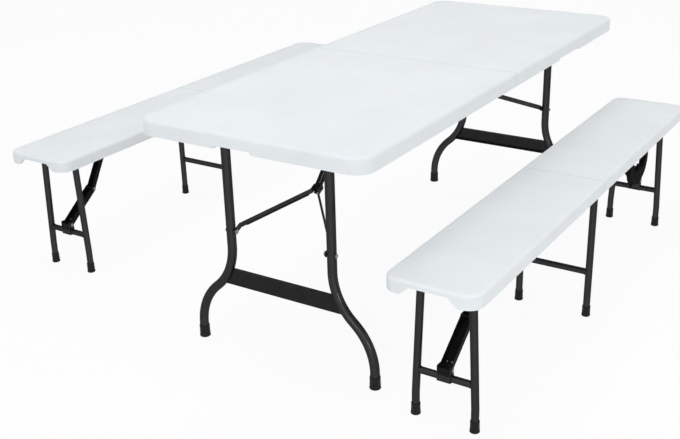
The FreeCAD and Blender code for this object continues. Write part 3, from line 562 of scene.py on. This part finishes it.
def bead(build, place, thick):
    """A weld bead around a crossbar: a ring about Y whose thickness ripples as it goes round."""
    turn = aimed(place, (0, 1, 0))
    rows = []
    for i in range(BEAD_STEPS):
        angle = 2 * math.pi * i / BEAD_STEPS
        wave = thick * (1 + BEAD_RIPPLE_DEPTH * math.sin(BEAD_RIPPLES * angle))
        row = []
        for j in range(BEAD_SIDES):
            tilt = 2 * math.pi * j / BEAD_SIDES
            reach = (BAR_RADIUS + wave * math.cos(tilt)) * MM
            spot = Vector((reach * math.cos(angle), reach * math.sin(angle), wave * math.sin(tilt) * MM))
            row.append(build.verts.new(turn @ spot))
        rows.append(row)
    for i in range(BEAD_STEPS):
        skin_between(build, rows[i], rows[(i + 1) % BEAD_STEPS])


def welds():
    """Beads where the crossbars meet the legs and lugs of the bench frames."""
    for unit in BENCHES:
        for tag in TAGS:
            build = bmesh.new()
            for side in SIDES:
                bead(build, world(unit, tag, END_FRAME_X, side * END_BAR_LEG_Y, END_BAR_Z), LEG_BEAD)
                bead(build, world(unit, tag, END_FRAME_X, side * END_BAR_LUG_Y, END_BAR_Z), LUG_BEAD)
            mesh = from_build("welds", build)
            piece(f"{unit}_{tag}_welds", mesh, STEEL, f"{unit}_{tag}_leg_frame")
        build = bmesh.new()
        for side in SIDES:
            bead(build, world(unit, "near", MID_FRAME_X, side * MID_BAR_LEG_Y, MID_BAR_Z), LEG_BEAD)
        mesh = from_build("welds", build)
        piece(f"{unit}_mid_welds", mesh, STEEL, f"{unit}_mid_leg_frame")


# Plates on the bench links and lugs

# A plate's section from its rim to its rib, as (inset, lift) pairs
PLATE_STEPS = [(0, 0), (0, 0.9), (0.6, 1.4), (5.0, 1.4), (6.2, 2.0)]
PLATE_END_BULGE = 4
PLATE_END_STEPS = 10
# Where each plate starts and ends along its link, its half width, and how far it lies off the link's axis
LOWER_PLATE = {"first": 106, "last": 159, "half": 16.6, "level": -8.8}
LOWER_TONGUE = {"first": -2, "last": 16, "half": 14.2, "level": -6.3}
UPPER_PLATE = {"first": 139, "last": 190, "half": 13.6, "level": 8.8}
# The lug's plate stands upright on the lug's outer face
UPRIGHT = math.pi / 2
LUG_FACE_X = -797
LUG_PLATE_TOP_Z = 167
LUG_PLATE_LEVEL = -0.2
LUG_PLATE_LOW_Z = {"near": 148, "far": 124}
LUG_PLATE_HALF = {"near": 17.2, "far": 20}


def plate_rim(first, last, half):
    """The outline of a plate with one rounded end."""
    rim = [(first, -half), (last, -half)]
    for i in range(1, PLATE_END_STEPS):
        turn = -math.pi / 2 + math.pi * i / PLATE_END_STEPS
        rim.append((last + PLATE_END_BULGE * math.cos(turn), half * math.sin(turn)))
    return rim + [(last, half), (first, half)]


def link_plate(unit, tag, start, angle, first, last, half, level):
    """A thin plate with a rounded end and a pressed rib, along a bench link."""
    build = bmesh.new()
    way = 1 if level > 0 else -1
    centre = (first + last) / 2
    rows = []
    for inset, lift in PLATE_STEPS:
        row = []
        for x, y in plate_rim(first, last, half):
            reach = x + (inset if x < centre else -inset)
            side = y - math.copysign(inset, y) if abs(y) > inset else 0
            spot = on_link(unit, tag, start, angle, reach, level + way * lift, side)
            row.append(build.verts.new(spot))
        rows.append(row)
    for low, high in zip(rows, rows[1:]):
        skin_between(build, low, high)
    build.faces.new(rows[0])
    build.faces.new(rows[-1])
    return from_build("link_plate", build)


def link_plates():
    """Closes the open ends of the bench links and the lugs, where the photograph shows solid steel."""
    for unit in BENCHES:
        for tag in TAGS:
            mesh = link_plate(unit, tag, LUG_PIN, LOWER_SLOPE, **LOWER_PLATE)
            piece(f"{unit}_{tag}_lower_plate", mesh, LINK_LIT_COPY, f"{unit}_{tag}_lower_brace")
            mesh = link_plate(unit, tag, LUG_PIN, LOWER_SLOPE, **LOWER_TONGUE)
            piece(f"{unit}_{tag}_lower_tongue", mesh, LINK_LIT_COPY, f"{unit}_{tag}_lower_brace")
            low = LUG_PLATE_LOW_Z[tag]
            mesh = link_plate(unit, tag, (LUG_FACE_X, low), UPRIGHT, first=0,
                              last=LUG_PLATE_TOP_Z - low, half=LUG_PLATE_HALF[tag],
                              level=LUG_PLATE_LEVEL)
            piece(f"{unit}_{tag}_lug_plate", mesh, LINK_LIT_COPY, f"{unit}_{tag}_leg_frame")
            mesh = link_plate(unit, tag, TOP_PIN, UPPER_SLOPE, **UPPER_PLATE)
            piece(f"{unit}_{tag}_upper_plate", mesh, LINK_LIT_COPY, f"{unit}_{tag}_upper_brace")


cap_nuts()
feet_bands()
screws()
welds()
link_plates()
rivets()


# Camera

# The photograph's camera, as worked out from the table's edges: lens in millimetres, place in metres
SENSOR_WIDTH = 36
FOCAL_LENGTH = 55.23
EYE = (-3.0116, -1.8581, 1.5946)
YAW = math.radians(32.941)
PITCH = math.radians(22.957)
ROLL = math.radians(-1.596)
FAR_LIMIT = 60


def view_turn():
    """The camera's turn: it looks along its yaw and down by its pitch, and rolls about that line."""
    forward = Vector((math.cos(YAW) * math.cos(PITCH), math.sin(YAW) * math.cos(PITCH), -math.sin(PITCH)))
    right = Vector((math.sin(YAW), -math.cos(YAW), 0))
    up = right.cross(forward)
    across = math.cos(ROLL) * right + math.sin(ROLL) * up
    over = math.cos(ROLL) * up - math.sin(ROLL) * right
    return Matrix((across, over, -forward)).transposed().to_4x4()


def camera():
    """The camera that sees the set as the photograph does."""
    data = bpy.data.cameras.new("photo_camera")
    data.sensor_fit = "HORIZONTAL"
    data.sensor_width = SENSOR_WIDTH
    data.lens = FOCAL_LENGTH
    data.clip_end = FAR_LIMIT
    eye = bpy.data.objects.new("photo_camera", data)
    eye.matrix_world = Matrix.Translation(EYE) @ view_turn()
    bpy.context.scene.collection.objects.link(eye)
    bpy.context.scene.camera = eye


# Light and floor

ROOM_LIGHT = (0.94, 0.97, 1, 1)
ROOM_LIGHT_STRENGTH = 0.64
ROOM_LOOK = (1, 1, 1, 1)
ROOM_LOOK_STRENGTH = 1.0
# How white the floor is where the camera looks, how far it reaches, and how far it lies under the feet
FLOOR_WHITE_SHARE = 0.92
FLOOR_REACH = 30.0
FLOOR_DROP = 0.0005


def lamp(name, place, aim, size, power):
    """A soft square lamp aimed at a point."""
    data = bpy.data.lights.new(name, "AREA")
    data.size = size
    data.energy = power
    lamp_object = bpy.data.objects.new(name, data)
    lamp_object.location = place
    lamp_object.rotation_euler = (Vector(aim) - Vector(place)).to_track_quat("-Z", "Y").to_euler()
    bpy.context.scene.collection.objects.link(lamp_object)


def lamps():
    """Soft studio light: a key lamp overhead, a fill from the camera's side, and three weak ones."""
    lamp("key", place=(-1.3, 0.1, 4.8), aim=(0, -0.1, 0.5), size=2.6, power=58)
    lamp("fill", place=(-4.4, -1.2, 2.2), aim=(0, -0.2, 0.4), size=2.2, power=26)
    lamp("side", place=(1.0, -4.6, 2.4), aim=(0, -0.3, 0.5), size=1.2, power=3)
    lamp("low", place=(-2.2, -2.7, 0.6), aim=(-0.7, -0.9, 0.35), size=0.5, power=6)
    lamp("glint", place=(1.6, -3.2, 2.8), aim=(-0.6, -0.5, 0.3), size=0.45, power=15)


def looked_at(tree):
    """One where the camera, a mirror-like surface or glass looks, and zero for plain light."""
    rays = tree.nodes.new("ShaderNodeLightPath")
    first = tree.nodes.new("ShaderNodeMath")
    both = tree.nodes.new("ShaderNodeMath")
    for step in (first, both):
        step.operation = "MAXIMUM"
    tree.links.new(rays.outputs["Is Camera Ray"], first.inputs[0])
    tree.links.new(rays.outputs["Is Glossy Ray"], first.inputs[1])
    tree.links.new(first.outputs["Value"], both.inputs[0])
    tree.links.new(rays.outputs["Is Transmission Ray"], both.inputs[1])
    return both.outputs["Value"]


def glow(tree, colour, strength):
    """A background shader of one colour."""
    node = tree.nodes.new("ShaderNodeBackground")
    node.inputs["Color"].default_value = colour
    node.inputs["Strength"].default_value = strength
    return node.outputs["Background"]


def backdrop():
    """White surroundings: brighter where the camera or a reflection looks, softer as light."""
    room = bpy.data.worlds.new("white_room")
    bpy.context.scene.world = room
    room.use_nodes = True
    tree = room.node_tree
    tree.nodes.clear()
    pick = tree.nodes.new("ShaderNodeMixShader")
    out = tree.nodes.new("ShaderNodeOutputWorld")
    tree.links.new(looked_at(tree), pick.inputs["Fac"])
    tree.links.new(glow(tree, ROOM_LIGHT, ROOM_LIGHT_STRENGTH), pick.inputs[1])
    tree.links.new(glow(tree, ROOM_LOOK, ROOM_LOOK_STRENGTH), pick.inputs[2])
    tree.links.new(pick.outputs["Shader"], out.inputs["Surface"])


def floor_skin():
    """A pale floor that takes shadows, mixed with plain white where the camera looks."""
    net = Net("pale_floor")
    tone = net.mottle(net.noise(scale=3.0, detail=3.0), dark=(0.90, 0.90, 0.90),
                      light=(0.92, 0.92, 0.92))
    net.set(Base_Color=tone, Roughness=0.9, Specular_IOR_Level=0.0)
    white = net.add("ShaderNodeEmission")
    white.inputs["Strength"].default_value = 1.0
    share = net.add("ShaderNodeMath", operation="MULTIPLY")
    share.inputs[1].default_value = FLOOR_WHITE_SHARE
    net.wire(looked_at(net.tree), share.inputs[0])
    pick = net.add("ShaderNodeMixShader")
    net.wire(share.outputs["Value"], pick.inputs["Fac"])
    net.wire(net.skin.outputs["BSDF"], pick.inputs[1])
    net.wire(white.outputs["Emission"], pick.inputs[2])
    net.wire(pick.outputs["Shader"], net.tree.nodes["Material Output"].inputs["Surface"])
    return net.material


def floor():
    """A pale floor under the set."""
    mesh = bpy.data.meshes.new("pale_floor")
    corners = []
    for x, y in ((-1, -1), (1, -1), (1, 1), (-1, 1)):
        corners.append((x * FLOOR_REACH, y * FLOOR_REACH, -FLOOR_DROP))
    mesh.from_pydata(corners, [], [(0, 1, 2, 3)])
    mesh.materials.append(floor_skin())
    ground = bpy.data.objects.new("pale_floor", mesh)
    bpy.context.scene.collection.objects.link(ground)


camera()
backdrop()
floor()
lamps()
bpy.context.scene.view_settings.view_transform = "Standard"
